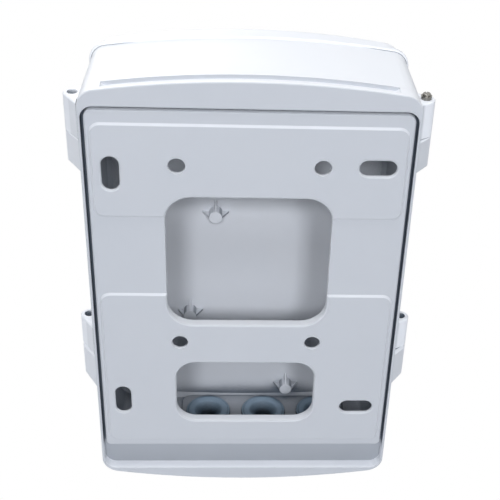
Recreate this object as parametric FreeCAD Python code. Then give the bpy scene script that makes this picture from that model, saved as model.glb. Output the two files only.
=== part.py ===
import math
import os

import FreeCAD
import Part

# Camera power box, wall mounted.
# Frame: millimetres, +Z up. The wall is the plane Y = 0 and the box stands out towards -Y.
# The origin is the centre of the four round fixing holes, on the wall plane.
# Depths below are distances from the wall, so a depth d lies at Y = -d.

# Outline of the box, seen square to the wall: straight sides, arched top and bottom
BOX_HALF_WIDTH = 90.6
BOX_TOP = 109.5
BOX_BOTTOM = -173.5
TOP_ARCH_RADIUS = 555.0
BOTTOM_ARCH_RADIUS = 520.0
TOP_CORNER_RADIUS = 10.5
BOTTOM_CORNER_RADIUS = 11.0

# Rear frame, the shallow cast tray that carries the plate
FRAME_REAR_DEPTH = 0.5
PARTING_DEPTH = 10.0
LEDGE_THICKNESS = 3.0
RING_WALL = 1.4
PLATE_GAP_TOP = 2.1
PLATE_GAP_SIDE = 1.7
POCKET_BOTTOM = -163.8
POCKET_TOP_CORNER = 7.0
POCKET_BOTTOM_CORNER = 7.0
LEDGE_SIDE_WIDTH = 7.7
LEDGE_TOP_OVERLAP = 12.5
LEDGE_BOTTOM_OVERLAP = 11.5
LEDGE_OPENING_CORNER = 6.0
FRAME_EDGE_CHAMFER = 0.4
FINGER_GROOVE_REAR = 3.8
FINGER_GROOVE_DROP = 2.2
FINGER_GROOVE_END_INSET = 12.1
FINGER_GROOVE_END_RADIUS = 3.0

# Seal between frame and housing
GASKET_INSET = 3.4
GASKET_WIDTH = 2.2
GASKET_DEPTH = 1.5

# Mounting plate, a cast tray with two raised pads
PLATE_TOP = 91.9
PLATE_BOTTOM = -144.2
PLATE_TOP_CORNER = 4.5
PLATE_BOTTOM_CORNER = 3.0
PLATE_SKIN = 2.2
PLATE_RIM_WIDTH = 2.5
PAD_HEIGHT = 1.4
PAD_SLOPE = 1.1
PAD_SIDE_MARGIN = 3.3
PAD_TOP_MARGIN = 8.2
PAD_BOTTOM_MARGIN = 5.9
PAD_CORNER = 5.0
UPPER_PAD_BOTTOM = 28.1
LOWER_PAD_TOP = -25.9
PLATE_EDGE_CHAMFER = 0.6

# Openings of the plate
LARGE_WINDOW_TOP = 40.3
LARGE_WINDOW_BOTTOM = -47.2
LARGE_WINDOW_HALF_WIDTH = 46.6
LARGE_WINDOW_CORNER = 15.0
SMALL_WINDOW_TOP = -75.8
SMALL_WINDOW_BOTTOM = -122.6
SMALL_WINDOW_HALF_WIDTH = 42.4
SMALL_WINDOW_CORNER = 12.3
WINDOW_LIP_WIDTH = 2.2
WINDOW_LIP_DEPTH = 5.8
OPENING_CHAMFER = 0.8
HOLE_DIAMETER = 9.4
HOLE_SPACING_X = 79.0
HOLE_SPACING_Z = 120.0
SLOT_WIDTH = 9.7
SLOT_LENGTH = 20.6
SLOT_SPACING_X = 150.0
SLOT_SPACING_Z = 171.0

# Screws that hold the plate to the ledge of the frame
PLATE_SCREW_SPACING = 62.0
PLATE_SCREW_ROW_INSET = 4.5
PLATE_SCREW_DIAMETER = 4.0
PLATE_SCREW_HEAD_DIAMETER = 7.6
PLATE_SCREW_HEAD_HEIGHT = 2.6
PLATE_SCREW_SLOT_WIDTH = 1.0
PLATE_SCREW_SLOT_DEPTH = 1.1
PLATE_SCREW_TIP_WALL = 1.4
PLATE_BOSS_DIAMETER = 8.4
SCREW_CLEARANCE = 0.25
THREAD_CLEARANCE = 0.05

# Housing, the deep cast cover
HOUSING_WALL = 3.2
HOUSING_FRONT_WALL = 3.2
HOUSING_DEPTH = 79.0
FRONT_CROWN = 2.5
WALL_DRAFT = 1.3
RIM_WIDTH = 6.4
RIM_LENGTH = 4.0
BEAD_REAR_DEPTH = 61.0
BEAD_LENGTH = 3.3
BEAD_RISE = 1.3
BEAD_CHAMFER = 0.9
NOSE_STEP = 0.5
NOSE_CORNER_GROWTH = 5.0
FRONT_EDGE_CHAMFER = 2.8
INNER_EDGE_CHAMFER = 2.8

# Ribbed bosses inside the front wall, as (x, z)
BOSS_PLACES = ((19.6, -14.6), (36.5, -91.5), (-29.5, -155.2))
BOSS_DIAMETER = 8.4
BOSS_HEIGHT = 7.6
BOSS_RIB_REACH = 8.3
BOSS_RIB_THICKNESS = 1.4
BOSS_RIB_BITE = 0.4
BOSS_RIB_FOOT_HEIGHT = 0.3

# Cable entries in the bottom wall
ENTRY_LAND_HEIGHT = -165.2
ENTRY_LAND_WALL = 3.2
ENTRY_LAND_HALF_WIDTH = 56.0
ENTRY_LAND_LENGTH = 33.6
ENTRY_LAND_CORNER = 6.0
ENTRY_DEPTH = 55.4
ENTRY_PITCH = 38.0
ENTRY_MIDDLE_X = -13.8
ENTRY_COUNT = 3
ENTRY_HOLE_DIAMETER = 22.0
GROMMET_FLANGE_DIAMETER = 30.0
GROMMET_FLANGE_THICKNESS = 2.5
GROMMET_OUTER_FLANGE_DIAMETER = 27.0
GROMMET_OUTER_FLANGE_THICKNESS = 1.6
GROMMET_MOUTH_DIAMETER = 18.8
GROMMET_WALL = 1.6
GROMMET_CUP_DEPTH = 9.0
GROMMET_CUP_END_DIAMETER = 8.0
GROMMET_EDGE_CHAMFER = 0.6
GROMMET_CLEARANCE = 0.05

# Lugs on the two sides: the upper knuckle is on the housing, the lower one on the frame
LUG_STANDOUT = 4.0
LUG_AXIS_DEPTH = 18.5
LUG_RADIUS = 5.0
LUG_HOLE_DIAMETER = 5.6
LUG_TOPS = (93.9, -52.6)
LUG_LOWER_LENGTHS = (18.0, 21.7)
LUG_TAPERS = (0.1, 0.3)
LUG_UPPER_LENGTH = 21.8
LUG_REAR_DEPTH = 4.0
LUG_HINGE_REAR_DEPTH = 7.0
LUG_FRONT_DEPTH = 26.7
LUG_ROOT = 1.6
LUG_SPLIT_CHAMFERS = (0.5, 1.5)
LUG_TOP_CHAMFER = 0.7
LOCK_SIDE = 1
HINGE_SIDE = -1
SIDE_CLEARANCE = 0.6
KNUCKLE_CLEARANCE = 0.35
LOCK_THREAD_DIAMETER = 4.2
LOCK_THREAD_LENGTH = 12.0

# Hinge: a bush held by a screw at the upper lug, a pressed pin at the lower lug
BUSH_DIAMETER = 5.5
BUSH_BORE = 3.3
BUSH_PROUD = 1.3
HINGE_SCREW_DIAMETER = 3.0
HINGE_SCREW_HEAD_DIAMETER = 4.4
HINGE_SCREW_HEAD_HEIGHT = 1.4
HINGE_SCREW_HEAD_CHAMFER = 0.4
HINGE_SCREW_GRIP = 10.0
HINGE_SCREW_SLOT_WIDTH = 0.8
HINGE_SCREW_SLOT_DEPTH = 0.7
WASHER_DIAMETER = 6.0
WASHER_THICKNESS = 0.6
PIN_DIAMETER = 5.5
PIN_GRIP = 12.0
PIN_TOP_DROP = 8.0
PIN_CHAMFER = 0.5
PRESS_CLEARANCE = 0.01

# Worked out from the values above
PLATE_BASE_DEPTH = PAD_HEIGHT
PLATE_BACK_DEPTH = PARTING_DEPTH - LEDGE_THICKNESS
PLATE_SKIN_BACK = PLATE_BASE_DEPTH + PLATE_SKIN
POCKET_HALF_WIDTH = BOX_HALF_WIDTH - RING_WALL
POCKET_TOP = PLATE_TOP + PLATE_GAP_TOP
PLATE_HALF_WIDTH = POCKET_HALF_WIDTH - PLATE_GAP_SIDE
LEDGE_OPENING_HALF_WIDTH = POCKET_HALF_WIDTH - LEDGE_SIDE_WIDTH
LEDGE_OPENING_TOP = PLATE_TOP - LEDGE_TOP_OVERLAP
LEDGE_OPENING_BOTTOM = PLATE_BOTTOM + LEDGE_BOTTOM_OVERLAP
FINGER_GROOVE_HALF_LENGTH = BOX_HALF_WIDTH - FINGER_GROOVE_END_INSET
PAD_HALF_WIDTH = PLATE_HALF_WIDTH - PAD_SIDE_MARGIN
UPPER_PAD_TOP = PLATE_TOP - PAD_TOP_MARGIN
LOWER_PAD_BOTTOM = PLATE_BOTTOM + PAD_BOTTOM_MARGIN
LUG_AXIS_X = BOX_HALF_WIDTH + LUG_STANDOUT
FIXING_TOP_ROW = HOLE_SPACING_Z / 2
PAST = 1.0
OVERLAP = 0.5
TOUCH = 0.01
SMALLEST_CORNER = 1.0


def point(x, depth, z):
    """A point from its x, its distance from the wall and its height."""
    return FreeCAD.Vector(x, -depth, z)


def arc_through(centre, radius, start_angle, end_angle, depth):
    """An arc in a plane parallel to the wall, with angles in radians from +X towards +Z."""
    places = []
    for share in (0.0, 0.5, 1.0):
        angle = start_angle + (end_angle - start_angle) * share
        x = centre[0] + radius * math.cos(angle)
        z = centre[1] + radius * math.sin(angle)
        places.append(point(x, depth, z))
    return Part.Arc(*places).toShape()


def box_wire(inset, depth, growth=0.0):
    """The outline of the box, moved inwards by inset: four arcs at the corners and two arches.

    growth makes the corners rounder than the moved outline has them.
    """
    half = BOX_HALF_WIDTH - inset
    top_radius = TOP_ARCH_RADIUS - inset
    bottom_radius = BOTTOM_ARCH_RADIUS - inset
    top_corner = max(TOP_CORNER_RADIUS - inset, SMALLEST_CORNER) + growth
    bottom_corner = max(BOTTOM_CORNER_RADIUS - inset, SMALLEST_CORNER) + growth
    top_centre = BOX_TOP - TOP_ARCH_RADIUS
    bottom_centre = BOX_BOTTOM + BOTTOM_ARCH_RADIUS
    top_x = half - top_corner
    top_z = top_centre + math.sqrt((top_radius - top_corner) ** 2 - top_x ** 2)
    bottom_x = half - bottom_corner
    bottom_z = bottom_centre - math.sqrt((bottom_radius - bottom_corner) ** 2 - bottom_x ** 2)
    top_angle = math.atan2(top_z - top_centre, top_x)
    bottom_angle = math.atan2(bottom_z - bottom_centre, bottom_x)
    left_angle = -math.pi - bottom_angle
    edges = [
        arc_through((top_x, top_z), top_corner, 0.0, top_angle, depth),
        arc_through((0.0, top_centre), top_radius, top_angle, math.pi - top_angle, depth),
        arc_through((-top_x, top_z), top_corner, math.pi - top_angle, math.pi, depth),
        Part.LineSegment(point(-half, depth, top_z), point(-half, depth, bottom_z)).toShape(),
        arc_through((-bottom_x, bottom_z), bottom_corner, -math.pi, left_angle, depth),
        arc_through((0.0, bottom_centre), bottom_radius, left_angle, bottom_angle, depth),
        arc_through((bottom_x, bottom_z), bottom_corner, bottom_angle, 0.0, depth),
        Part.LineSegment(point(half, depth, bottom_z), point(half, depth, top_z)).toShape(),
    ]
    return Part.Wire(edges)


def joined_arcs(corners, sweep, start, depth):
    """A closed wire of equal turns about (x, z, radius) corners, joined by straight lines."""
    arcs = []
    for step, (x, z, radius) in enumerate(corners):
        angle = start + step * sweep
        arcs.append(arc_through((x, z), radius, angle, angle + sweep, depth))
    edges = []
    for arc, following in zip(arcs, arcs[1:] + arcs[:1]):
        leaving = arc.valueAt(arc.LastParameter)
        arriving = following.valueAt(following.FirstParameter)
        edges += [arc, Part.LineSegment(leaving, arriving).toShape()]
    return Part.Wire(edges)


def round_wire(half_width, bottom, top, depth, bottom_corner, top_corner, middle_x=0.0):
    """A rectangle with rounded corners, parallel to the wall."""
    left = middle_x - half_width
    right = middle_x + half_width
    corners = (
        (right - top_corner, top - top_corner, top_corner),
        (left + top_corner, top - top_corner, top_corner),
        (left + bottom_corner, bottom + bottom_corner, bottom_corner),
        (right - bottom_corner, bottom + bottom_corner, bottom_corner),
    )
    return joined_arcs(corners, math.pi / 2, 0.0, depth)


def slot_wire(place, growth, depth):
    """The outline of a slot with round ends, from (x, z, half width, half height)."""
    x, z, half_x, half_z = place
    radius = min(half_x, half_z) + growth
    run_x = half_x + growth - radius
    run_z = half_z + growth - radius
    start = math.atan2(run_z, run_x) - math.pi / 2
    ends = ((x + run_x, z + run_z, radius), (x - run_x, z - run_z, radius))
    return joined_arcs(ends, math.pi, start, depth)


def slab(wire, length):
    """The wire's area pushed away from the wall by length."""
    return Part.Face(wire).extrude(FreeCAD.Vector(0, -length, 0))


def box_slab(inset, start, end, growth=0.0):
    """A slab with the outline of the box."""
    return slab(box_wire(inset, start, growth), end - start)


def drafted_slab(inset, start, end_inset, end, end_growth=0.0):
    """A slab whose outline changes from one inset at its start to another at its end."""
    return Part.makeLoft([box_wire(inset, start), box_wire(end_inset, end, end_growth)], True, True)


def round_slab(half_width, bottom, top, start, end, bottom_corner, top_corner, middle_x=0.0):
    wire = round_wire(half_width, bottom, top, start, bottom_corner, top_corner, middle_x)
    return slab(wire, end - start)


def rod_out(x, z, start, end, radius):
    """A round rod square to the wall."""
    return Part.makeCylinder(radius, end - start, point(x, start, z), FreeCAD.Vector(0, -1, 0))


def rod_up(x, depth, bottom, top, radius):
    """A round rod along Z."""
    return Part.makeCylinder(radius, top - bottom, point(x, depth, bottom), FreeCAD.Vector(0, 0, 1))


def block(x0, x1, depth0, depth1, z0, z1):
    return Part.makeBox(x1 - x0, depth1 - depth0, z1 - z0, point(x0, depth1, z0))


def edges_on_plane(shape, depth, tolerance=TOUCH):
    """The edges of a shape that lie in the plane at this depth."""
    found = []
    for edge in shape.Edges:
        box = edge.BoundBox
        if abs(box.YMin + depth) < tolerance and abs(box.YMax + depth) < tolerance:
            found.append(edge)
    return found


def turned(profile, x, depth, z, axis):
    """A solid turned about an axis through a place, from (radius, height) points."""
    points = [FreeCAD.Vector(r, 0, h) for r, h in profile]
    points.append(points[0])
    solid = Part.Face(Part.makePolygon(points)).revolve(
        FreeCAD.Vector(0, 0, 0), FreeCAD.Vector(0, 0, 1), 360)
    turn = FreeCAD.Rotation(FreeCAD.Vector(0, 0, 1), axis)
    solid.Placement = FreeCAD.Placement(point(x, depth, z), turn)
    return solid


# Lugs

def tangent_point(start_x, start_depth, outer):
    """Where a line from a place beside the box touches the lug's barrel.

    Places are (distance from the centre plane, depth). outer picks the side away from the box.
    """
    dx = LUG_AXIS_X - start_x
    dd = LUG_AXIS_DEPTH - start_depth
    distance = math.hypot(dx, dd)
    turn = math.asin(LUG_RADIUS / distance)
    heading = math.atan2(dx, dd)
    heading = heading + math.copysign(turn, dd) * (1 if outer else -1)
    reach = math.sqrt(distance ** 2 - LUG_RADIUS ** 2)
    return start_x + reach * math.sin(heading), start_depth + reach * math.cos(heading)


def lug_prism(side, corners, bottom, top):
    """A prism along Z from (distance from the centre plane, depth) corners, on one side."""
    points = [point(side * x, d, bottom) for x, d in corners]
    points.append(points[0])
    return Part.Face(Part.makePolygon(points)).extrude(FreeCAD.Vector(0, 0, top - bottom))


def wall_at(depth):
    """Half width of the drafted housing wall at a depth."""
    share = (depth - PARTING_DEPTH) / (BEAD_REAR_DEPTH - PARTING_DEPTH)
    return BOX_HALF_WIDTH - WALL_DRAFT * share


def chamfer_outside(knuckle, side, height, size):
    """Chamfers the outer edge of a knuckle at one height, round the barrel and along its webs."""
    picked = []
    for edge in knuckle.Edges:
        box = edge.BoundBox
        level = abs(box.ZMin - height) < TOUCH and abs(box.ZMax - height) < TOUCH
        reach = max(side * box.XMin, side * box.XMax)
        if level and box.XLength > TOUCH and reach > LUG_AXIS_X:
            picked.append(edge)
    return knuckle.makeChamfer(size, picked)


def upper_knuckle(side, index):
    """The half of a lug that belongs to the housing: a barrel with webs to the side wall."""
    top = LUG_TOPS[index]
    bottom = lug_split(index)
    root = wall_at(LUG_FRONT_DEPTH) - LUG_ROOT
    if side == LOCK_SIDE:
        rear_x = BOX_HALF_WIDTH + SIDE_CLEARANCE
        rear = [(rear_x, PARTING_DEPTH), (rear_x, LUG_REAR_DEPTH + SIDE_CLEARANCE)]
        touch = tangent_point(BOX_HALF_WIDTH, LUG_REAR_DEPTH, True)
    else:
        rear = [(BOX_HALF_WIDTH, PARTING_DEPTH)]
        touch = tangent_point(BOX_HALF_WIDTH, PARTING_DEPTH, True)
    front = tangent_point(wall_at(LUG_FRONT_DEPTH), LUG_FRONT_DEPTH, True)
    corners = [(root, PARTING_DEPTH)] + rear
    corners += [touch, (LUG_AXIS_X, LUG_AXIS_DEPTH), front, (root, LUG_FRONT_DEPTH)]
    web = lug_prism(side, corners, bottom, top)
    barrel = rod_up(side * LUG_AXIS_X, LUG_AXIS_DEPTH, bottom, top, LUG_RADIUS)
    knuckle = web.fuse(barrel).removeSplitter()
    knuckle = chamfer_outside(knuckle, side, top, LUG_TOP_CHAMFER)
    return chamfer_outside(knuckle, side, bottom, LUG_SPLIT_CHAMFERS[index])


def lower_knuckle(side, index):
    """The half of a lug that belongs to the frame, tapering into the side below."""
    rear_depth = LUG_REAR_DEPTH if side == LOCK_SIDE else LUG_HINGE_REAR_DEPTH
    inner_x = BOX_HALF_WIDTH + SIDE_CLEARANCE
    tip_x = LUG_AXIS_X + LUG_RADIUS
    top = lug_split(index)
    taper = LUG_TAPERS[index]
    taper_start = top - LUG_LOWER_LENGTHS[index]
    bottom = taper_start - taper * (tip_x - BOX_HALF_WIDTH)
    root = BOX_HALF_WIDTH - RING_WALL / 2
    touch = tangent_point(BOX_HALF_WIDTH, rear_depth, True)
    corners = [(root, PARTING_DEPTH), (root, rear_depth), (BOX_HALF_WIDTH, rear_depth), touch,
               (LUG_AXIS_X, LUG_AXIS_DEPTH), (inner_x, LUG_AXIS_DEPTH), (inner_x, PARTING_DEPTH)]
    web = lug_prism(side, corners, bottom, top)
    barrel = rod_up(side * LUG_AXIS_X, LUG_AXIS_DEPTH, bottom, top, LUG_RADIUS)
    if side == LOCK_SIDE:
        keep_x0, keep_x1 = sorted((side * inner_x, side * (tip_x + PAST)))
        barrel = barrel.common(block(keep_x0, keep_x1, 0, PARTING_DEPTH + LUG_FRONT_DEPTH, bottom, top))
    knuckle = web.fuse(barrel).removeSplitter()
    knuckle = chamfer_outside(knuckle, side, top, LUG_SPLIT_CHAMFERS[index])
    inner_reach = tip_x - BOX_HALF_WIDTH + LUG_ROOT
    foot = taper_start - taper * inner_reach
    wedge = [point(side * (tip_x + PAST), 0, foot - PAST),
             point(side * (tip_x + PAST), 0, taper_start + taper * PAST),
             point(side * (tip_x - inner_reach), 0, foot),
             point(side * (tip_x - inner_reach), 0, foot - PAST)]
    wedge.append(wedge[0])
    cutter = Part.Face(Part.makePolygon(wedge)).extrude(
        FreeCAD.Vector(0, -(LUG_AXIS_DEPTH + LUG_RADIUS + PAST), 0))
    return knuckle.cut(cutter)


def lug_split(index):
    """Height where the two knuckles of a lug meet."""
    return LUG_TOPS[index] - LUG_UPPER_LENGTH


# Rear frame

def finger_groove(rear, front):
    """The long shallow groove in the arched top, with rounded ends."""
    outer = slab(box_wire(-PAST, rear), front - rear)
    inner = slab(box_wire(FINGER_GROOVE_DROP, rear), front - rear)
    half_length = FINGER_GROOVE_HALF_LENGTH
    band = block(-half_length, half_length, rear, front, PLATE_TOP, BOX_TOP + 2 * PAST)
    groove = outer.cut(inner).common(band)
    ends = []
    for side in (-1, 1):
        x = side * (FINGER_GROOVE_HALF_LENGTH - FINGER_GROOVE_END_RADIUS)
        arch = TOP_ARCH_RADIUS - FINGER_GROOVE_DROP
        floor = BOX_TOP - TOP_ARCH_RADIUS + math.sqrt(arch ** 2 - x ** 2)
        ramp = rod_out(x, floor + FINGER_GROOVE_END_RADIUS, rear, front, FINGER_GROOVE_END_RADIUS)
        x0, x1 = sorted((x, side * (FINGER_GROOVE_HALF_LENGTH + PAST)))
        ends.append(block(x0, x1, rear - PAST, front + PAST, PLATE_TOP, BOX_TOP + 2 * PAST).cut(ramp))
    for end in ends:
        groove = groove.cut(end)
    return groove


def make_rear_frame():
    """A shallow cast tray: a rear ring, a pocket for the plate, a ledge and four lower knuckles."""
    body = box_slab(0.0, FRAME_REAR_DEPTH, PARTING_DEPTH)
    pocket = round_slab(POCKET_HALF_WIDTH, POCKET_BOTTOM, POCKET_TOP, FRAME_REAR_DEPTH,
                        PLATE_BACK_DEPTH, POCKET_BOTTOM_CORNER, POCKET_TOP_CORNER)
    body = body.cut(pocket)
    body = body.makeChamfer(FRAME_EDGE_CHAMFER, edges_on_plane(body, FRAME_REAR_DEPTH))
    opening = round_slab(LEDGE_OPENING_HALF_WIDTH, LEDGE_OPENING_BOTTOM, LEDGE_OPENING_TOP,
                         PLATE_BACK_DEPTH - PAST, PARTING_DEPTH + PAST,
                         LEDGE_OPENING_CORNER, LEDGE_OPENING_CORNER)
    body = body.cut(opening)
    body = body.cut(finger_groove(FINGER_GROOVE_REAR, PARTING_DEPTH + PAST))
    body = body.cut(gasket_ring(GASKET_DEPTH + PAST))
    radius = PLATE_SCREW_DIAMETER / 2 + SCREW_CLEARANCE
    for x, z in plate_screw_places():
        body = body.cut(rod_out(x, z, PLATE_BACK_DEPTH - PAST, PARTING_DEPTH + PAST, radius))
    for side in (HINGE_SIDE, LOCK_SIDE):
        for index in range(len(LUG_TOPS)):
            split = lug_split(index)
            body = body.fuse(lower_knuckle(side, index))
            x = side * LUG_AXIS_X
            if side == LOCK_SIDE:
                radius = LOCK_THREAD_DIAMETER / 2
                length = LOCK_THREAD_LENGTH
            elif index == 0:
                radius = HINGE_SCREW_DIAMETER / 2 + THREAD_CLEARANCE
                length = HINGE_SCREW_GRIP + PAST
            else:
                radius = PIN_DIAMETER / 2 + PRESS_CLEARANCE
                length = PIN_GRIP
            body = body.cut(rod_up(x, LUG_AXIS_DEPTH, split - length, split + PAST, radius))
    return body.removeSplitter()


# Seal

def gasket_ring(length):
    """A ring that follows the outline of the box, on the housing side of the frame."""
    start = PARTING_DEPTH - GASKET_DEPTH
    outer = box_slab(GASKET_INSET, start, start + length)
    return outer.cut(box_slab(GASKET_INSET + GASKET_WIDTH, start, start + length))


def make_frame_gasket():
    return gasket_ring(GASKET_DEPTH)


# Mounting plate

def hole_places():
    """The four round holes, as (x, z)."""
    rows = (FIXING_TOP_ROW, -FIXING_TOP_ROW)
    return [(side * HOLE_SPACING_X / 2, z) for z in rows for side in (-1, 1)]


def slot_places():
    """The four slots, as (x, z, half width, half height). Each starts at a corner of one rectangle."""
    travel = (SLOT_LENGTH - SLOT_WIDTH) / 2
    corner_x = SLOT_SPACING_X / 2
    low = FIXING_TOP_ROW - SLOT_SPACING_Z
    half = SLOT_WIDTH / 2
    long_half = SLOT_LENGTH / 2
    return [
        (corner_x, FIXING_TOP_ROW - travel, half, long_half),
        (corner_x, low + travel, half, long_half),
        (travel - corner_x, FIXING_TOP_ROW, long_half, half),
        (travel - corner_x, low, long_half, half),
    ]


def plate_screw_places():
    """The screws along the top and bottom ledge, as (x, z)."""
    rows = (PLATE_TOP - PLATE_SCREW_ROW_INSET, PLATE_BOTTOM + PLATE_SCREW_ROW_INSET)
    return [(step * PLATE_SCREW_SPACING, z) for z in rows for step in (-1, 0, 1)]


def pad(top, bottom):
    """One raised pad with sloping sides, from the wall plane down into the skin."""
    face = round_wire(PAD_HALF_WIDTH, bottom, top, 0.0, PAD_CORNER, PAD_CORNER)
    foot = round_wire(PAD_HALF_WIDTH + PAD_SLOPE, bottom - PAD_SLOPE, top + PAD_SLOPE, PAD_HEIGHT,
                      PAD_CORNER + PAD_SLOPE, PAD_CORNER + PAD_SLOPE)
    return Part.makeLoft([face, foot], True, True)


def pad_hollow(top, bottom):
    """The hollow behind a pad, which keeps the skin even."""
    inset = PLATE_SKIN - PAD_SLOPE / 2
    corner = PAD_CORNER - PAD_SLOPE / 2
    return round_slab(PAD_HALF_WIDTH - inset, bottom + inset, top - inset, PLATE_SKIN,
                      PLATE_BACK_DEPTH + PAST, corner, corner)


def window_places():
    """The two windows, as (half width, bottom, top, corner)."""
    return (
        (LARGE_WINDOW_HALF_WIDTH, LARGE_WINDOW_BOTTOM, LARGE_WINDOW_TOP, LARGE_WINDOW_CORNER),
        (SMALL_WINDOW_HALF_WIDTH, SMALL_WINDOW_BOTTOM, SMALL_WINDOW_TOP, SMALL_WINDOW_CORNER),
    )


def window_wire(place, growth, depth):
    half_width, bottom, top, corner = place
    corner += growth
    return round_wire(half_width + growth, bottom - growth, top + growth, depth, corner, corner)


def opening(wire_maker, place):
    """What an opening takes from the plate: a straight passage with a chamfered edge at the wall plane."""
    passage = slab(wire_maker(place, 0.0, -PAST), PLATE_BACK_DEPTH + 2 * PAST)
    wide = wire_maker(place, OPENING_CHAMFER, 0.0)
    narrow = wire_maker(place, 0.0, OPENING_CHAMFER)
    return passage.fuse(Part.makeLoft([wide, narrow], True, True))


def make_mounting_plate():
    """The tray that goes on the wall: two raised pads, two windows, four holes and four slots."""
    body = round_slab(PLATE_HALF_WIDTH, PLATE_BOTTOM, PLATE_TOP, PLATE_BASE_DEPTH,
                      PLATE_BACK_DEPTH, PLATE_BOTTOM_CORNER, PLATE_TOP_CORNER)
    body = body.makeChamfer(PLATE_EDGE_CHAMFER, edges_on_plane(body, PLATE_BASE_DEPTH))
    pads = ((UPPER_PAD_TOP, UPPER_PAD_BOTTOM), (LOWER_PAD_TOP, LOWER_PAD_BOTTOM))
    for top, bottom in pads:
        body = body.fuse(pad(top, bottom))
    rim = PLATE_RIM_WIDTH
    hollow = round_slab(PLATE_HALF_WIDTH - rim, PLATE_BOTTOM + rim, PLATE_TOP - rim,
                        PLATE_SKIN_BACK, PLATE_BACK_DEPTH + PAST, PLATE_BOTTOM_CORNER, PLATE_TOP_CORNER)
    body = body.cut(hollow)
    for top, bottom in pads:
        body = body.cut(pad_hollow(top, bottom))
    for place in window_places():
        lip = window_wire(place, WINDOW_LIP_WIDTH, PLATE_BASE_DEPTH + OVERLAP)
        body = body.fuse(slab(lip, WINDOW_LIP_DEPTH - PLATE_BASE_DEPTH - OVERLAP))
    boss_start = PLATE_BASE_DEPTH + OVERLAP
    for x, z in plate_screw_places():
        body = body.fuse(rod_out(x, z, boss_start, PLATE_BACK_DEPTH, PLATE_BOSS_DIAMETER / 2))
    for place in window_places():
        body = body.cut(opening(window_wire, place))
    for x, z in hole_places():
        body = body.cut(rod_out(x, z, -PAST, PLATE_BACK_DEPTH, HOLE_DIAMETER / 2))
    for place in slot_places():
        body = body.cut(opening(slot_wire, place))
    thread = PLATE_SCREW_DIAMETER / 2 + THREAD_CLEARANCE
    thread_end = PLATE_BASE_DEPTH + PLATE_SCREW_TIP_WALL
    for x, z in plate_screw_places():
        body = body.cut(rod_out(x, z, thread_end, PLATE_BACK_DEPTH + PAST, thread))
    return body.removeSplitter()


def make_plate_screw(x, z):
    """A cheese head screw that enters from the housing side of the ledge."""
    radius = PLATE_SCREW_DIAMETER / 2
    head = PLATE_SCREW_HEAD_DIAMETER / 2
    height = PLATE_SCREW_HEAD_HEIGHT
    length = PARTING_DEPTH - PLATE_BASE_DEPTH - PLATE_SCREW_TIP_WALL - THREAD_CLEARANCE
    profile = [(0, -length), (radius, -length), (radius, 0), (head, 0), (head, height), (0, height)]
    screw = turned(profile, x, PARTING_DEPTH, z, FreeCAD.Vector(0, -1, 0))
    half = PLATE_SCREW_SLOT_WIDTH / 2
    start = PARTING_DEPTH + height - PLATE_SCREW_SLOT_DEPTH
    slot = block(x - head - PAST, x + head + PAST, start, start + height, z - half, z + half)
    return screw.cut(slot)


# Housing

def front_cutter(depth, inset):
    """What lies in front of the gently crowned front, at a depth on the centre plane."""
    half = BOX_HALF_WIDTH - inset
    radius = half ** 2 / (2 * FRONT_CROWN) + FRONT_CROWN / 2
    low = BOX_BOTTOM - 2 * PAST
    high = BOX_TOP + 2 * PAST
    drum = Part.makeCylinder(radius, high - low, point(0, depth - radius, low), FreeCAD.Vector(0, 0, 1))
    wide = half + 2 * PAST
    return block(-wide, wide, depth - 3 * FRONT_CROWN, depth + 10 * PAST, low, high).cut(drum)


def front_edges(shape, depth):
    """The edges round the front face of a crowned slab."""
    picked = []
    for edge in shape.Edges:
        box = edge.BoundBox
        if -box.YMax > depth - FRONT_CROWN - OVERLAP and edge.Length > PAST:
            picked.append(edge)
    return picked


def crowned_slab(inset, start, depth, edge):
    """A slab with a crowned front whose edge is chamfered."""
    body = box_slab(inset, start, depth + PAST, NOSE_CORNER_GROWTH)
    body = body.cut(front_cutter(depth, inset))
    return body.makeChamfer(edge, front_edges(body, depth))


def bead():
    """The raised bead that runs round the housing near its front."""
    inset = WALL_DRAFT - BEAD_RISE
    ring = box_slab(inset, BEAD_REAR_DEPTH, BEAD_REAR_DEPTH + BEAD_LENGTH)
    rims = edges_on_plane(ring, BEAD_REAR_DEPTH) + edges_on_plane(ring, BEAD_REAR_DEPTH + BEAD_LENGTH)
    return ring.makeChamfer(BEAD_CHAMFER, rims)


def entry_places():
    """The cable entries along X."""
    middle = (ENTRY_COUNT - 1) / 2
    return [ENTRY_MIDDLE_X + (step - middle) * ENTRY_PITCH for step in range(ENTRY_COUNT)]


def entry_land(low, high):
    """The flat field of the bottom wall that carries the cable entries."""
    half_length = ENTRY_LAND_LENGTH / 2
    corner = ENTRY_LAND_CORNER
    x0 = ENTRY_MIDDLE_X - ENTRY_LAND_HALF_WIDTH
    x1 = ENTRY_MIDDLE_X + ENTRY_LAND_HALF_WIDTH
    field = block(x0, x1, ENTRY_DEPTH - half_length, ENTRY_DEPTH + half_length, low, high)
    upright = [e for e in field.Edges if abs(e.BoundBox.ZLength - (high - low)) < TOUCH]
    return field.makeFillet(corner, upright)


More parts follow.
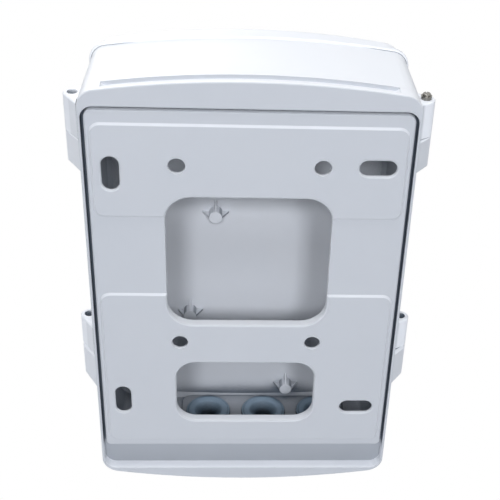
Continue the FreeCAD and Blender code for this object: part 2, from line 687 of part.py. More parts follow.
def boss(x, z):
    """A round post with four tapering ribs, standing on the inside of the front wall."""
    half = BOX_HALF_WIDTH - WALL_DRAFT - NOSE_STEP - HOUSING_WALL
    floor = HOUSING_DEPTH - HOUSING_FRONT_WALL - FRONT_CROWN * (x / half) ** 2
    foot = floor + HOUSING_FRONT_WALL / 2
    end = floor - BOSS_HEIGHT
    body = rod_out(x, z, end, foot, BOSS_DIAMETER / 2)
    half_rib = BOSS_RIB_THICKNESS / 2
    core = BOSS_DIAMETER / 2 - BOSS_RIB_BITE
    rib_end = floor - BOSS_RIB_FOOT_HEIGHT
    for axis in (FreeCAD.Vector(1, 0, 0), FreeCAD.Vector(0, 0, 1)):
        across = FreeCAD.Vector(axis.z, 0, axis.x)
        middle = point(x, 0, z)
        corners = []
        for reach, depth in ((-BOSS_RIB_REACH, foot), (-BOSS_RIB_REACH, rib_end), (-core, end),
                             (core, end), (BOSS_RIB_REACH, rib_end), (BOSS_RIB_REACH, foot)):
            corners.append(middle + axis * reach + FreeCAD.Vector(0, -depth, 0) - across * half_rib)
        corners.append(corners[0])
        rib = Part.Face(Part.makePolygon(corners)).extrude(across * BOSS_RIB_THICKNESS)
        body = body.fuse(rib)
    return body


def make_housing():
    """The deep cast cover: drafted walls, bead, crowned front, bosses, entries and upper knuckles."""
    nose_inset = WALL_DRAFT + NOSE_STEP
    shell = drafted_slab(0.0, PARTING_DEPTH, WALL_DRAFT, BEAD_REAR_DEPTH)
    nose = crowned_slab(nose_inset, BEAD_REAR_DEPTH, HOUSING_DEPTH, FRONT_EDGE_CHAMFER)
    body = shell.fuse(bead()).fuse(nose)

    inner_inset = HOUSING_WALL + nose_inset
    cavity = drafted_slab(HOUSING_WALL, PARTING_DEPTH, inner_inset, BEAD_REAR_DEPTH, NOSE_CORNER_GROWTH)
    inner_depth = HOUSING_DEPTH - HOUSING_FRONT_WALL
    cavity = cavity.fuse(crowned_slab(inner_inset, BEAD_REAR_DEPTH, inner_depth, INNER_EDGE_CHAMFER))
    rim = box_slab(0.0, PARTING_DEPTH, PARTING_DEPTH + RIM_LENGTH)
    rim = rim.cut(box_slab(RIM_WIDTH, PARTING_DEPTH - PAST, PARTING_DEPTH + RIM_LENGTH + PAST))
    land = entry_land(BOX_BOTTOM, ENTRY_LAND_HEIGHT)
    body = body.cut(cavity.cut(rim).cut(land))
    body = body.cut(entry_land(ENTRY_LAND_HEIGHT, ENTRY_LAND_HEIGHT + HOUSING_WALL))

    recess_top = ENTRY_LAND_HEIGHT - ENTRY_LAND_WALL
    body = body.cut(entry_land(BOX_BOTTOM - PAST, recess_top))
    radius = ENTRY_HOLE_DIAMETER / 2
    for x in entry_places():
        body = body.cut(rod_up(x, ENTRY_DEPTH, recess_top - PAST, ENTRY_LAND_HEIGHT + PAST, radius))
    for x, z in BOSS_PLACES:
        body = body.fuse(boss(x, z))
    for side in (HINGE_SIDE, LOCK_SIDE):
        for index, top in enumerate(LUG_TOPS):
            x = side * LUG_AXIS_X
            split = lug_split(index)
            body = body.fuse(upper_knuckle(side, index))
            body = body.cut(rod_up(x, LUG_AXIS_DEPTH, split - PAST, top + PAST, LUG_HOLE_DIAMETER / 2))
            if side == HINGE_SIDE:
                taper_drop = LUG_TAPERS[index] * (LUG_STANDOUT + LUG_RADIUS)
                low = split - LUG_LOWER_LENGTHS[index] - taper_drop - PAST
                body = body.cut(rod_up(x, LUG_AXIS_DEPTH, low, split, LUG_RADIUS + KNUCKLE_CLEARANCE))
    return body.removeSplitter()


# Cable grommets

def make_cable_grommet(x):
    """A rubber grommet gripping the bottom wall, with a closed cone that is cut open for a cable."""
    grip = ENTRY_HOLE_DIAMETER / 2 - GROMMET_CLEARANCE
    mouth = GROMMET_MOUTH_DIAMETER / 2
    end = GROMMET_CUP_END_DIAMETER / 2
    under = -ENTRY_LAND_WALL
    lip = under - GROMMET_OUTER_FLANGE_THICKNESS
    tip = GROMMET_FLANGE_THICKNESS - GROMMET_CUP_DEPTH
    flange = GROMMET_FLANGE_DIAMETER / 2
    outer_flange = GROMMET_OUTER_FLANGE_DIAMETER / 2
    profile = [
        (0, tip), (end, tip), (mouth, GROMMET_FLANGE_THICKNESS),
        (flange - GROMMET_EDGE_CHAMFER, GROMMET_FLANGE_THICKNESS),
        (flange, GROMMET_FLANGE_THICKNESS - GROMMET_EDGE_CHAMFER),
        (flange, 0), (grip, 0), (grip, under), (outer_flange, under), (outer_flange, lip),
        (end + GROMMET_WALL, lip), (end + GROMMET_WALL, tip - GROMMET_WALL), (0, tip - GROMMET_WALL),
    ]
    return turned(profile, x, ENTRY_DEPTH, ENTRY_LAND_HEIGHT, FreeCAD.Vector(0, 0, 1))


# Hinge hardware

def make_hinge_bush():
    split = lug_split(0)
    top = LUG_TOPS[0] + BUSH_PROUD
    x = HINGE_SIDE * LUG_AXIS_X
    bush = rod_up(x, LUG_AXIS_DEPTH, split, top, BUSH_DIAMETER / 2)
    return bush.cut(rod_up(x, LUG_AXIS_DEPTH, split - PAST, top + PAST, BUSH_BORE / 2))


def make_hinge_washer():
    x = HINGE_SIDE * LUG_AXIS_X
    low = LUG_TOPS[0] + BUSH_PROUD
    washer = rod_up(x, LUG_AXIS_DEPTH, low, low + WASHER_THICKNESS, WASHER_DIAMETER / 2)
    return washer.cut(rod_up(x, LUG_AXIS_DEPTH, low - PAST, low + PAST + WASHER_THICKNESS, BUSH_BORE / 2))


def make_hinge_screw():
    """The screw that clamps washer and bush down on the frame's knuckle."""
    seat = LUG_TOPS[0] + BUSH_PROUD + WASHER_THICKNESS
    tip = lug_split(0) - HINGE_SCREW_GRIP - seat
    radius = HINGE_SCREW_DIAMETER / 2
    head = HINGE_SCREW_HEAD_DIAMETER / 2
    top = HINGE_SCREW_HEAD_HEIGHT
    bevel = HINGE_SCREW_HEAD_CHAMFER
    profile = [(0, tip), (radius, tip), (radius, 0), (head, 0),
               (head, top - bevel), (head - bevel, top), (0, top)]
    screw = turned(profile, HINGE_SIDE * LUG_AXIS_X, LUG_AXIS_DEPTH, seat, FreeCAD.Vector(0, 0, 1))
    half = HINGE_SCREW_SLOT_WIDTH / 2
    x = HINGE_SIDE * LUG_AXIS_X
    slot = block(x - half, x + half, LUG_AXIS_DEPTH - head - PAST, LUG_AXIS_DEPTH + head + PAST,
                 seat + top - HINGE_SCREW_SLOT_DEPTH, seat + top + PAST)
    return screw.cut(slot)


def make_hinge_pin():
    """The plain pin pressed into the frame's lower hinge knuckle."""
    split = lug_split(1)
    low = -PIN_GRIP
    high = LUG_UPPER_LENGTH - PIN_TOP_DROP
    radius = PIN_DIAMETER / 2
    profile = [(0, low), (radius - PIN_CHAMFER, low), (radius, low + PIN_CHAMFER),
               (radius, high - PIN_CHAMFER), (radius - PIN_CHAMFER, high), (0, high)]
    return turned(profile, HINGE_SIDE * LUG_AXIS_X, LUG_AXIS_DEPTH, split, FreeCAD.Vector(0, 0, 1))


def main():
    os.makedirs("parts", exist_ok=True)
    nodes = {
        "rear_frame": make_rear_frame(),
        "frame_gasket": make_frame_gasket(),
        "mounting_plate": make_mounting_plate(),
        "housing": make_housing(),
        "hinge_bush": make_hinge_bush(),
        "hinge_washer": make_hinge_washer(),
        "hinge_screw": make_hinge_screw(),
        "hinge_pin": make_hinge_pin(),
    }
    for number, (x, z) in enumerate(plate_screw_places(), start=1):
        nodes[f"plate_screw_{number}"] = make_plate_screw(x, z)
    for number, x in enumerate(entry_places(), start=1):
        nodes[f"cable_grommet_{number}"] = make_cable_grommet(x)
    for name, shape in nodes.items():
        print(name, "solids", len(shape.Solids), "volume", round(shape.Volume), "valid", shape.isValid())
        shape.exportStep(f"parts/{name}.step")


main()
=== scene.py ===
# %% [markdown]
# # A wall-mounted camera power box
# The box has three large castings: a deep housing, a shallow rear frame and a
# mounting plate with raised pads. It hangs behind a security camera and keeps
# its power supply dry. We look at it from behind and above, into the side that
# goes on the wall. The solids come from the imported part, and this lesson adds
# the finishes, softer rubber grommets, the camera and the light.

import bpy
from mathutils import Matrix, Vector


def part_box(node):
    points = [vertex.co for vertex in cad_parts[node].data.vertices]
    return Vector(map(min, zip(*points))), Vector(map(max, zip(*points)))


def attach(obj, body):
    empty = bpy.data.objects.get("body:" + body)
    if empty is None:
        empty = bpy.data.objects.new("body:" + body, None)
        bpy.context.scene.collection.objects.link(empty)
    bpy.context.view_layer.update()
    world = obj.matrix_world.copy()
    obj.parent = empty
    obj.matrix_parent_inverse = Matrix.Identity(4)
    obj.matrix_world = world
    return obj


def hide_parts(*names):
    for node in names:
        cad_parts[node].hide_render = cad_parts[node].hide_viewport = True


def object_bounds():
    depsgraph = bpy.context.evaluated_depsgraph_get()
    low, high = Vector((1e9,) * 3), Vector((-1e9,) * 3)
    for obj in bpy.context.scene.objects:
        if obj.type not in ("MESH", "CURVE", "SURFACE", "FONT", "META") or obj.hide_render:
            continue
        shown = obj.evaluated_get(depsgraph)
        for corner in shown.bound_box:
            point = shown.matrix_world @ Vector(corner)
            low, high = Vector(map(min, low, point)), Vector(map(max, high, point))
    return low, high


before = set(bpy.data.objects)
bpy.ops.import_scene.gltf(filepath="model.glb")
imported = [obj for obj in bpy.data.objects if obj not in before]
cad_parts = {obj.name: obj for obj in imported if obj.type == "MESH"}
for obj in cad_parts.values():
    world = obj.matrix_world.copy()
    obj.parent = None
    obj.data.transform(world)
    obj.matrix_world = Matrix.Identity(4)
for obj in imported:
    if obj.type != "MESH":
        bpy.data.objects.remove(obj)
cad_low, cad_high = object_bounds()

# %% [markdown]
# All lengths on the drawing are in millimetres, but Blender counts in metres.
# One constant keeps the change of units in a single place. The frame of the
# part has the wall at Y = 0, and the box stands out towards -Y.

# %% Units and libraries
import math

import bmesh
import bpy
from mathutils import Matrix, Vector

MM = 0.001
scene = bpy.context.scene

# %% [markdown]
# ## Camera
# The camera was found by matching the outline, the slots and the lugs of the
# box with the photograph. Its three axes are written down as they were found:
# right, up and backwards. The lens is 78 mm on a 36 mm sensor, and the small
# shift stands for a picture that was cropped off its middle.

# %% Place the camera
PICTURE = 500
FOCAL_PIXELS = 1080.0
CENTRE_PIXEL = 299.77
SENSOR = 36.0
CAMERA_PLACE = Vector((10.266, 508.760, 344.406)) * MM
CAMERA_RIGHT = Vector((-0.9978664, 0.0474917, 0.0448016))
CAMERA_UP = Vector((0.0110770, -0.5531076, 0.8330362))
CAMERA_BACK = Vector((0.0643425, 0.8317551, 0.5514014))

camera_data = bpy.data.cameras.new("camera")
camera_data.sensor_width = SENSOR
camera_data.lens = SENSOR * FOCAL_PIXELS / PICTURE
camera_data.shift_x = -(CENTRE_PIXEL - PICTURE / 2) / PICTURE
camera_data.clip_start = 0.02
camera_data.clip_end = 20.0
camera = bpy.data.objects.new("camera", camera_data)
scene.collection.objects.link(camera)
turn = Matrix((CAMERA_RIGHT, CAMERA_UP, CAMERA_BACK)).transposed()
camera.matrix_world = Matrix.Translation(CAMERA_PLACE) @ turn.to_4x4()
scene.camera = camera
print("camera at", [round(v, 3) for v in camera.location], "lens", round(camera_data.lens, 1))

# %% [markdown]
# ## Helpers for materials
# Colours are easiest to read as the hex values that a paint chart gives, but a
# shader wants linear light, so one function changes them. A second helper adds
# any node, with its settings and its links, in one line. Two more stand on it:
# one for a step of arithmetic, and one that mixes two colours.

# %% Colour and node helpers
AIR_SAMPLES = 8
EDGE_SAMPLES = 6


def linear(hex_colour):
    """A hex sRGB colour as linear RGBA."""
    parts = [int(hex_colour[i:i + 2], 16) / 255 for i in (1, 3, 5)]
    light = [c / 12.92 if c <= 0.04045 else ((c + 0.055) / 1.055) ** 2.4 for c in parts]
    return (*light, 1.0)


def add_node(tree, kind, settings=None, inputs=None, links=None):
    """Adds one node; inputs are values by socket name, links are output sockets by socket name."""
    node = tree.nodes.new(kind)
    for name, value in (settings or {}).items():
        setattr(node, name, value)
    for name, value in (inputs or {}).items():
        node.inputs[name].default_value = value
    for name, source in (links or {}).items():
        tree.links.new(source, node.inputs[name])
    return node


def reckon(tree, operation, *values):
    """The result of one math node on one or two output sockets."""
    return add_node(tree, "ShaderNodeMath", {"operation": operation}, links=dict(enumerate(values))).outputs[0]


def mix_colours(tree, share, first, second):
    """A colour between two; each is a fixed colour or an output socket."""
    mix = add_node(tree, "ShaderNodeMix", {"data_type": "RGBA"}, links={"Factor": share})
    for socket, colour in zip((mix.inputs[6], mix.inputs[7]), (first, second)):
        if isinstance(colour, bpy.types.NodeSocket):
            tree.links.new(colour, socket)
        else:
            socket.default_value = colour
    return mix.outputs[2]


def new_material(name):
    """An empty node material with only its output."""
    material = bpy.data.materials.new(name)
    material.use_nodes = True
    tree = material.node_tree
    tree.nodes.clear()
    return material, tree, tree.nodes.new("ShaderNodeOutputMaterial")


print("white as linear:", [round(c, 3) for c in linear("#FFFFFF")])

# %% [markdown]
# ## Powder-coated die-cast aluminium
# The three castings are die-cast aluminium with a fine-textured powder coat in
# a cool white. Powder melts into a skin with a soft orange peel, so the eye gets
# a matt, even surface with a faint grain and a wide, weak highlight. The grain
# is about 0.7 mm across, and a much larger, weaker cloud gives the slight change
# of tone that a sprayed coat has. A bevel node rounds the sharp edges by a
# millimetre, as a thick coat does, without changing the solids.
#
# Shade is painted into the coat: in some regions its colour is mixed towards a
# dark grey. Each casting has a list of such regions, and each region is a short
# function that gives a share from 0 to 1. Bores and gaps get painted shade by how
# much of the air around them is shut in. The side that goes on the wall is
# painted a light grey shade. The back of the plate, the pocket of the frame and
# the corners, side walls, floor and trench inside the housing get painted shade
# as well. Where two numbers stand for a region, it starts at the first and is
# full at the second.

# %% Powder coat
COAT_GRAIN = 0.7 * MM
COAT_CLOUD = 45 * MM
COAT_EDGE = 1.0 * MM
COAT_DEPTH = 0.05 * MM
COAT_REACH = 24 * MM
COAT_WHITE = "#EBEDF1"
COAT_SHADE = "#E6E9EE"
# The dark grey that painted shade mixes the white coat towards.
COAT_PAINTED_SHADE = "#5C6570"
WALL_SIDE_SHARE = 0.36
POCKET_SHARE = 0.6
INNER_WALL_SHARE = 0.65
INNER_FLOOR_SHARE = 0.5
TRENCH_SHARE = 0.4
POCKET_START = 0.9 * MM
POCKET_FLOOR = 6.0 * MM
PLATE_FOOT = -144.0 * MM
RIM_DEPTH = 11.0 * MM
HOUSING_START = 12.0 * MM
INNER_FLOOR_TOP = -160.0 * MM
TRENCH_TOP = -162.0 * MM
TRENCH_LOW = -165.0 * MM
TRENCH_DEPTH = 72.5 * MM
TRENCH_EDGE = 0.3 * MM
CORNER_BAND = 62.0 * MM
INNER_HALF_WIDTH = 89.8 * MM
MASK_EDGE = 0.1 * MM
SHORT_BAND = 4 * MM
SOFT_BAND = 12 * MM
LUG_AIR = (0.35, 0.15)
GAP_AIR = (0.68, 0.34)
CORNER_AIR = (0.78, 0.45)
LEAN_BAND = (3 * MM, 1 * MM)
FACING_WALL = (0.4, 0.8)
FACING_FRONT = (-0.4, -0.6)
FACING_OUT_OF_POCKET = (0.4, 0.6)
FACING_ACROSS = (0.4, 0.7)


def share_of(tree, value, low, high, share=1.0):
    """0 where a value is on the side of low, and the share where it is on the side of high."""
    return add_node(tree, "ShaderNodeMapRange", inputs={"From Min": low, "From Max": high, "To Max": share},
                    links={"Value": value}).outputs[0]


def product(tree, *factors):
    """The factors multiplied together."""
    whole = factors[0]
    for factor in factors[1:]:
        whole = reckon(tree, "MULTIPLY", whole, factor)
    return whole


def inner_side(tree, seat, start):
    """1 inside a casting: deeper than a start, between the side walls, and not looking outwards."""
    flat = add_node(tree, "ShaderNodeVectorMath", {"operation": "MULTIPLY"}, {1: (1, 0, 1)}, {0: seat["Object"]})
    lean = add_node(tree, "ShaderNodeVectorMath", {"operation": "DOT_PRODUCT"},
                    links={0: flat.outputs[0], 1: seat["Normal"]})
    return product(tree, share_of(tree, seat["place"][1], -start, -start - MASK_EDGE),
                   share_of(tree, seat["width"], INNER_HALF_WIDTH, INNER_HALF_WIDTH - MASK_EDGE),
                   share_of(tree, lean.outputs["Value"], *LEAN_BAND))


def lug_bores(tree, seat):
    """Painted shade in the bores and splits of the lugs, where the air is shut in."""
    lug = share_of(tree, seat["width"], INNER_HALF_WIDTH, INNER_HALF_WIDTH + MASK_EDGE)
    return product(tree, lug, share_of(tree, seat["air"], *LUG_AIR))


def wall_side(tree, seat):
    """Painted shade, a light grey, on what looks towards the wall."""
    return share_of(tree, seat["facing"][1], *FACING_WALL, WALL_SIDE_SHARE)


def housing_rim(tree, seat):
    """Painted shade on the edge of the housing, where it meets the frame."""
    return product(tree, wall_side(tree, seat), share_of(tree, seat["place"][1], -HOUSING_START, -RIM_DEPTH))


def back_side(tree, seat):
    """Painted shade on what looks away from the wall."""
    return share_of(tree, seat["facing"][1], *FACING_FRONT)


def pocket_floor(tree, seat):
    """Painted shade on the floor of the frame's pocket."""
    return product(tree, inner_side(tree, seat, POCKET_FLOOR),
                   share_of(tree, seat["facing"][1], *FACING_OUT_OF_POCKET, POCKET_SHARE))


def pocket_gap(tree, seat):
    """Painted shade in the gap round the plate, above the plate's foot."""
    beside_plate = share_of(tree, seat["place"][2], PLATE_FOOT - SHORT_BAND, PLATE_FOOT)
    return product(tree, inner_side(tree, seat, POCKET_START), beside_plate, share_of(tree, seat["air"], *GAP_AIR))


def inner_corners(tree, seat):
    """Painted shade in the corners inside the housing: near a side wall or low down, and shut in."""
    side = share_of(tree, seat["width"], CORNER_BAND, CORNER_BAND + SOFT_BAND)
    low = share_of(tree, seat["place"][2], INNER_FLOOR_TOP + SOFT_BAND, INNER_FLOOR_TOP)
    band = reckon(tree, "MAXIMUM", side, low)
    return product(tree, inner_side(tree, seat, HOUSING_START), band, share_of(tree, seat["air"], *CORNER_AIR))


def inner_walls(tree, seat):
    """Painted shade on the side walls inside the housing."""
    across = reckon(tree, "ABSOLUTE", seat["facing"][0])
    return product(tree, inner_side(tree, seat, HOUSING_START),
                   share_of(tree, across, *FACING_ACROSS, INNER_WALL_SHARE))


def inner_floor(tree, seat):
    """Painted shade on the floor inside the housing."""
    low = share_of(tree, seat["place"][2], INNER_FLOOR_TOP, INNER_FLOOR_TOP - SHORT_BAND, INNER_FLOOR_SHARE)
    return product(tree, inner_side(tree, seat, HOUSING_START), low)


def trench(tree, seat):
    """Painted shade in the narrow trench between the entry land and the front wall."""
    low = share_of(tree, seat["place"][2], TRENCH_TOP, TRENCH_LOW, TRENCH_SHARE)
    far = share_of(tree, seat["place"][1], -TRENCH_DEPTH, -TRENCH_DEPTH - TRENCH_EDGE)
    return product(tree, inner_side(tree, seat, HOUSING_START), low, far)


def powder_coat(name, regions):
    """A white coat with painted shade, a dark grey, mixed in over the given regions."""
    material, tree, output = new_material(name)
    coordinates = add_node(tree, "ShaderNodeTexCoord")
    seat = {side: coordinates.outputs[side] for side in ("Object", "Normal")}
    seat["place"] = add_node(tree, "ShaderNodeSeparateXYZ", links={0: seat["Object"]}).outputs
    seat["width"] = reckon(tree, "ABSOLUTE", seat["place"][0])
    seat["facing"] = add_node(tree, "ShaderNodeSeparateXYZ", links={0: seat["Normal"]}).outputs
    open_air = add_node(tree, "ShaderNodeAmbientOcclusion", {"samples": AIR_SAMPLES}, {"Distance": COAT_REACH})
    seat["air"] = open_air.outputs["AO"]
    # The painted shade at a point is the largest share that any region gives.
    painted_shade = regions[0](tree, seat)
    for region in regions[1:]:
        painted_shade = reckon(tree, "MAXIMUM", painted_shade, region(tree, seat))
    cloud = add_node(tree, "ShaderNodeTexNoise", inputs={"Scale": 1 / COAT_CLOUD, "Detail": 3.0, "Roughness": 0.55},
                     links={"Vector": seat["Object"]})
    grain = add_node(tree, "ShaderNodeTexNoise", inputs={"Scale": 1 / COAT_GRAIN, "Detail": 2.0, "Roughness": 0.5},
                     links={"Vector": seat["Object"]})
    tone = mix_colours(tree, cloud.outputs["Fac"], linear(COAT_WHITE), linear(COAT_SHADE))
    cover = mix_colours(tree, painted_shade, tone, linear(COAT_PAINTED_SHADE))
    gloss = add_node(tree, "ShaderNodeMapRange",
                     inputs={"From Min": 0.3, "From Max": 0.7, "To Min": 0.46, "To Max": 0.54},
                     links={"Value": grain.outputs["Fac"]})
    edge = add_node(tree, "ShaderNodeBevel", {"samples": EDGE_SAMPLES}, {"Radius": COAT_EDGE})
    peel = add_node(tree, "ShaderNodeBump", inputs={"Strength": 0.25, "Distance": COAT_DEPTH},
                    links={"Height": grain.outputs["Fac"], "Normal": edge.outputs[0]})
    shader = add_node(tree, "ShaderNodeBsdfPrincipled", inputs={"IOR": 1.5, "Specular IOR Level": 0.4},
                      links={"Base Color": cover, "Roughness": gloss.outputs[0], "Normal": peel.outputs[0]})
    tree.links.new(shader.outputs[0], output.inputs["Surface"])
    return material


housing_coat = powder_coat("powder_coated_die_cast_aluminium_housing",
                           (lug_bores, housing_rim, inner_corners, inner_walls, inner_floor, trench))
frame_coat = powder_coat("powder_coated_die_cast_aluminium_frame", (lug_bores, wall_side, pocket_floor, pocket_gap))
plate_coat = powder_coat("powder_coated_die_cast_aluminium_plate", (wall_side, back_side))
print("powder coat grain scale:", round(1 / COAT_GRAIN))

# %% [markdown]
# ## Rubber
# The seal between frame and housing is black EPDM, and the cable grommets are a
# blue-grey moulded rubber. Moulded rubber is matt, with a very fine, uneven
# surface and a little bloom that lightens it in clouds. Deep in a cup, where the
# air is shut in, the rubber is darkened with painted shade.

# %% Rubber
RUBBER_BLOOM = 9 * MM
RUBBER_REACH = 9 * MM
RUBBER_AIR = (0.95, 0.78)
RUBBER_DEPTH = 0.03 * MM
# The dark blue-grey of the painted shade in cups.
RUBBER_PAINTED_SHADE = "#222F3B"


def moulded_rubber(name, dark, light, grain):
    """A matt rubber with bloom that runs from dark to light, a fine grain, and painted shade deep in cups."""
    material, tree, output = new_material(name)
    place = add_node(tree, "ShaderNodeTexCoord").outputs["Object"]
    bloom = add_node(tree, "ShaderNodeTexNoise", inputs={"Scale": 1 / RUBBER_BLOOM, "Detail": 4.0},
                     links={"Vector": place})
    fine = add_node(tree, "ShaderNodeTexNoise", inputs={"Scale": 1 / grain, "Detail": 2.0}, links={"Vector": place})
    tone = mix_colours(tree, bloom.outputs["Fac"], linear(dark), linear(light))
    matt = add_node(tree, "ShaderNodeMapRange", inputs={"To Min": 0.55, "To Max": 0.75},
                    links={"Value": fine.outputs["Fac"]})
    # Painted shade: where the air round a point is shut in, as deep in a cup, the colour is mixed towards a dark
    # blue-grey.
    open_air = add_node(tree, "ShaderNodeAmbientOcclusion", {"samples": AIR_SAMPLES}, {"Distance": RUBBER_REACH})
    cup_shade = share_of(tree, open_air.outputs["AO"], *RUBBER_AIR)
    bloom_and_cup_shade = mix_colours(tree, cup_shade, tone, linear(RUBBER_PAINTED_SHADE))
    skin = add_node(tree, "ShaderNodeBump", inputs={"Strength": 0.3, "Distance": RUBBER_DEPTH},
                    links={"Height": fine.outputs["Fac"]})
    shader = add_node(tree, "ShaderNodeBsdfPrincipled", inputs={"IOR": 1.52},
                      links={"Base Color": bloom_and_cup_shade, "Roughness": matt.outputs[0], "Normal": skin.outputs[0]})
    tree.links.new(shader.outputs[0], output.inputs["Surface"])
    return material


seal_rubber = moulded_rubber("epdm_rubber_black", "#17191B", "#222528", 0.4 * MM)
grommet_rubber = moulded_rubber("moulded_rubber_blue_grey", "#889DAE", "#95A9BA", 0.5 * MM)
print("rubbers:", seal_rubber.name, grommet_rubber.name)

# %% [markdown]
# ## Stainless steel
# Screws, washer, bush and pin are turned stainless steel. A turned surface keeps
# fine rings, which lie across the axis of the piece. They stand about 0.75 mm
# apart here, as coarse as they need to be to show at all. A wave texture has 20
# radians to its unit, so its scale is worked out from that. A bevel node breaks
# the sharp edges of the heads, so they catch a thin line of light.

# %% Stainless steel
TURNING_PITCH = 0.754 * MM
TURNING_DEPTH = 0.01 * MM
WAVE_RADIANS = 20
STEEL_STAIN = 1.5 * MM
STEEL_EDGE = 0.2 * MM


def turned_steel(name, axis):
    """A turned steel with rings across the given axis."""
    material, tree, output = new_material(name)
    place = add_node(tree, "ShaderNodeTexCoord").outputs["Object"]
    rings = add_node(tree, "ShaderNodeTexWave", {"bands_direction": axis},
                     {"Scale": math.tau / WAVE_RADIANS / TURNING_PITCH, "Distortion": 0.6, "Detail": 2.0},
                     {"Vector": place})
    stain = add_node(tree, "ShaderNodeTexNoise", inputs={"Scale": 1 / STEEL_STAIN, "Detail": 3.0},
                     links={"Vector": place})
    tone = mix_colours(tree, stain.outputs["Fac"], linear("#75736E"), linear("#9B9994"))
    satin = add_node(tree, "ShaderNodeMapRange", inputs={"To Min": 0.24, "To Max": 0.4},
                     links={"Value": stain.outputs["Fac"]})
    edge = add_node(tree, "ShaderNodeBevel", {"samples": EDGE_SAMPLES}, {"Radius": STEEL_EDGE})
    marks = add_node(tree, "ShaderNodeBump", inputs={"Strength": 0.2, "Distance": TURNING_DEPTH},
                     links={"Height": rings.outputs["Fac"], "Normal": edge.outputs[0]})
    shader = add_node(tree, "ShaderNodeBsdfPrincipled", inputs={"Metallic": 1.0},
                      links={"Base Color": tone, "Roughness": satin.outputs[0], "Normal": marks.outputs[0]})
    tree.links.new(shader.outputs[0], output.inputs["Surface"])
    return material


steel_upright = turned_steel("turned_stainless_steel_upright", "Z")
steel_level = turned_steel("turned_stainless_steel_level", "Y")
print("steels:", steel_upright.name, steel_level.name)

# %% [markdown]
# ## Finishes on the solids
# We swap the plain material in the slot of each solid for the finish that the
# real piece has.

# %% Dress the solids
castings = {"housing": housing_coat, "rear_frame": frame_coat, "mounting_plate": plate_coat}


def finish_of(node):
    """The finish of a node of the part."""
    if node in castings:
        return castings[node]
    if node == "frame_gasket":
        return seal_rubber
    if node.startswith("cable_grommet"):
        return grommet_rubber
    return steel_level if node.startswith("plate_screw") else steel_upright


for node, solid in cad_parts.items():
    solid.data.materials.clear()
    solid.data.materials.append(finish_of(node))
print("dressed", len(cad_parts), "solids")

# %% [markdown]
# ## Softer grommets
# A moulded grommet has no sharp edge anywhere. We draw half of its section once,
# round every corner with a short curve, and turn it about the axis of each cable
# entry. The new piece stands for the plain solid and keeps to its outline.

# %% Turn the grommets
TURN_STEPS = 96
CORNER_STEPS = 5
WELD = 0.001 * MM
FLANGE_TOP = 2.5
GROMMET_SECTION = (
    (0.0, -6.5, 0.0), (4.0, -6.5, 1.5), (9.4, 2.5, 1.0), (13.2, 2.5, 0.2), (13.5, 2.1, 0.2),
    (15.0, 2.1, 0.7), (15.0, 0.0, 0.3), (10.95, 0.0, 0.2), (10.95, -3.2, 0.2), (13.5, -3.2, 0.3),
    (13.5, -4.8, 0.6), (5.6, -4.8, 0.5), (5.6, -8.1, 0.8), (0.0, -8.1, 0.0),
)


def rounded(corners):
    """An open outline from (radius, height, rounding) corners in mm, with a short curve at each."""
    places = [Vector((x, 0, z)) * MM for x, z, rounding in corners]
    points = [places[0]]
    for before, here, after, corner in zip(places, places[1:], places[2:], corners[1:]):
        back = (before - here).normalized() * corner[2] * MM
        ahead = (after - here).normalized() * corner[2] * MM
        for step in range(CORNER_STEPS + 1):
            share = step / CORNER_STEPS
            points.append(here + back * (1 - share) ** 2 + ahead * share ** 2)
    return points + [places[-1]]


def turned_piece(name, corners, place):
    """A piece turned from an outline about the upright axis through a place."""
    shape = bmesh.new()
    line = [shape.verts.new(point) for point in rounded(corners)]
    edges = [shape.edges.new(pair) for pair in zip(line, line[1:])]
    bmesh.ops.spin(shape, geom=line + edges, cent=(0, 0, 0), axis=(0, 0, 1), dvec=(0, 0, 0),
                   angle=math.tau, steps=TURN_STEPS, use_merge=True, use_duplicate=False)
    bmesh.ops.remove_doubles(shape, verts=shape.verts, dist=WELD)
    bmesh.ops.recalc_face_normals(shape, faces=shape.faces)
    bmesh.ops.translate(shape, verts=shape.verts, vec=place)
    mesh = bpy.data.meshes.new(name)
    shape.to_mesh(mesh)
    shape.free()
    mesh.shade_smooth()
    piece = bpy.data.objects.new(name, mesh)
    scene.collection.objects.link(piece)
    return piece


for node in sorted(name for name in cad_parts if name.startswith("cable_grommet")):
    low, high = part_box(node)
    land = Vector(((low.x + high.x) / 2, (low.y + high.y) / 2, high.z - FLANGE_TOP * MM))
    grommet = turned_piece(node.replace("cable", "moulded"), GROMMET_SECTION, land)
    grommet.data.materials.append(grommet_rubber)
    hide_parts(node)
    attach(grommet, "housing_door")
    print(grommet.name, "faces:", len(grommet.data.polygons), "at", [round(v / MM, 1) for v in land])

# %% [markdown]
# ## Floor and light
# The box stands in a bright, even studio. The floor is pale and lies below the
# box, and the camera sees it white, as it does the air around. One soft lamp
# hangs overhead and makes the arched top the brightest face. Two small ones
# stand left and right of the camera, a little above it, and reach through the
# windows, but not down the holes and slots. A weak lamp on each side lights the
# lugs, and one in front lights the cover for whoever walks round the box. The
# world fills the rest with a faint, cool light.

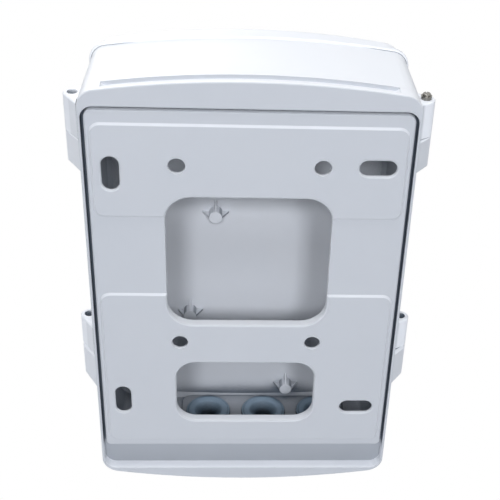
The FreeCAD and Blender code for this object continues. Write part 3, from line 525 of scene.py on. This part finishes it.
# %% Floor
FLOOR_DROP = 0.06
FLOOR_SIZE = 8.0
bpy.ops.mesh.primitive_plane_add(size=FLOOR_SIZE, location=(0, 0, cad_low.z - FLOOR_DROP))
floor = bpy.context.object
floor.name = "floor"
floor_paint, tree, output = new_material("floor_pale")
ray = add_node(tree, "ShaderNodeLightPath")
matt_floor = add_node(tree, "ShaderNodeBsdfDiffuse", inputs={"Color": linear("#EDEFF2")})
bright = add_node(tree, "ShaderNodeEmission", inputs={"Color": (1, 1, 1, 1), "Strength": 1.0})
mixed = add_node(tree, "ShaderNodeMixShader",
                 links={0: ray.outputs["Is Camera Ray"], 1: matt_floor.outputs[0], 2: bright.outputs[0]})
tree.links.new(mixed.outputs[0], output.inputs["Surface"])
floor.data.materials.append(floor_paint)
print("floor at", round(floor.location.z, 3))

# %% World and lamps
FILL = 0.04
FILL_TINT = "#EDF3FF"
LAMPS = (
    ("lamp_above", (0.0, 0.12, 1.2), 0.7, 8.2, "#FFFFFF"),
    ("lamp_behind_left", (0.22, 1.44, 0.96), 0.24, 10.0, "#F6F9FF"),
    ("lamp_behind_right", (-0.22, 1.44, 0.96), 0.24, 10.0, "#F6F9FF"),
    ("lamp_left", (1.1, 0.0, 0.35), 0.6, 2.7, "#FFFFFF"),
    ("lamp_right", (-1.1, 0.0, 0.35), 0.6, 1.9, "#FFFFFF"),
    ("lamp_front", (0.4, -1.3, 0.5), 0.8, 6.0, "#FFFFFF"),
)
world = bpy.data.worlds.new("studio")
scene.world = world
world.use_nodes = True
tree = world.node_tree
tree.nodes.clear()
output = tree.nodes.new("ShaderNodeOutputWorld")
ray = add_node(tree, "ShaderNodeLightPath")
shown = reckon(tree, "MAXIMUM", ray.outputs["Is Camera Ray"], ray.outputs["Is Glossy Ray"])
shown = reckon(tree, "MAXIMUM", shown, ray.outputs["Is Transmission Ray"])
level = add_node(tree, "ShaderNodeMapRange", inputs={"To Min": FILL, "To Max": 1.0}, links={"Value": shown})
hue = mix_colours(tree, shown, linear(FILL_TINT), (1, 1, 1, 1))
air = add_node(tree, "ShaderNodeBackground", links={"Color": hue, "Strength": level.outputs[0]})
tree.links.new(air.outputs[0], output.inputs["Surface"])


def soft_lamp(name, place, aim, size, power, tint):
    """A square area lamp at a place, turned to look at a point."""
    data = bpy.data.lights.new(name, "AREA")
    data.shape = "SQUARE"
    data.size = size
    data.energy = power
    data.color = linear(tint)[:3]
    lamp = bpy.data.objects.new(name, data)
    lamp.location = place
    lamp.rotation_mode = "QUATERNION"
    lamp.rotation_quaternion = (Vector(aim) - Vector(place)).to_track_quat("-Z", "Y")
    scene.collection.objects.link(lamp)


middle = (cad_low + cad_high) / 2
for name, place, size, power, tint in LAMPS:
    soft_lamp(name, place, middle, size, power, tint)
scene.view_settings.view_transform = "Standard"
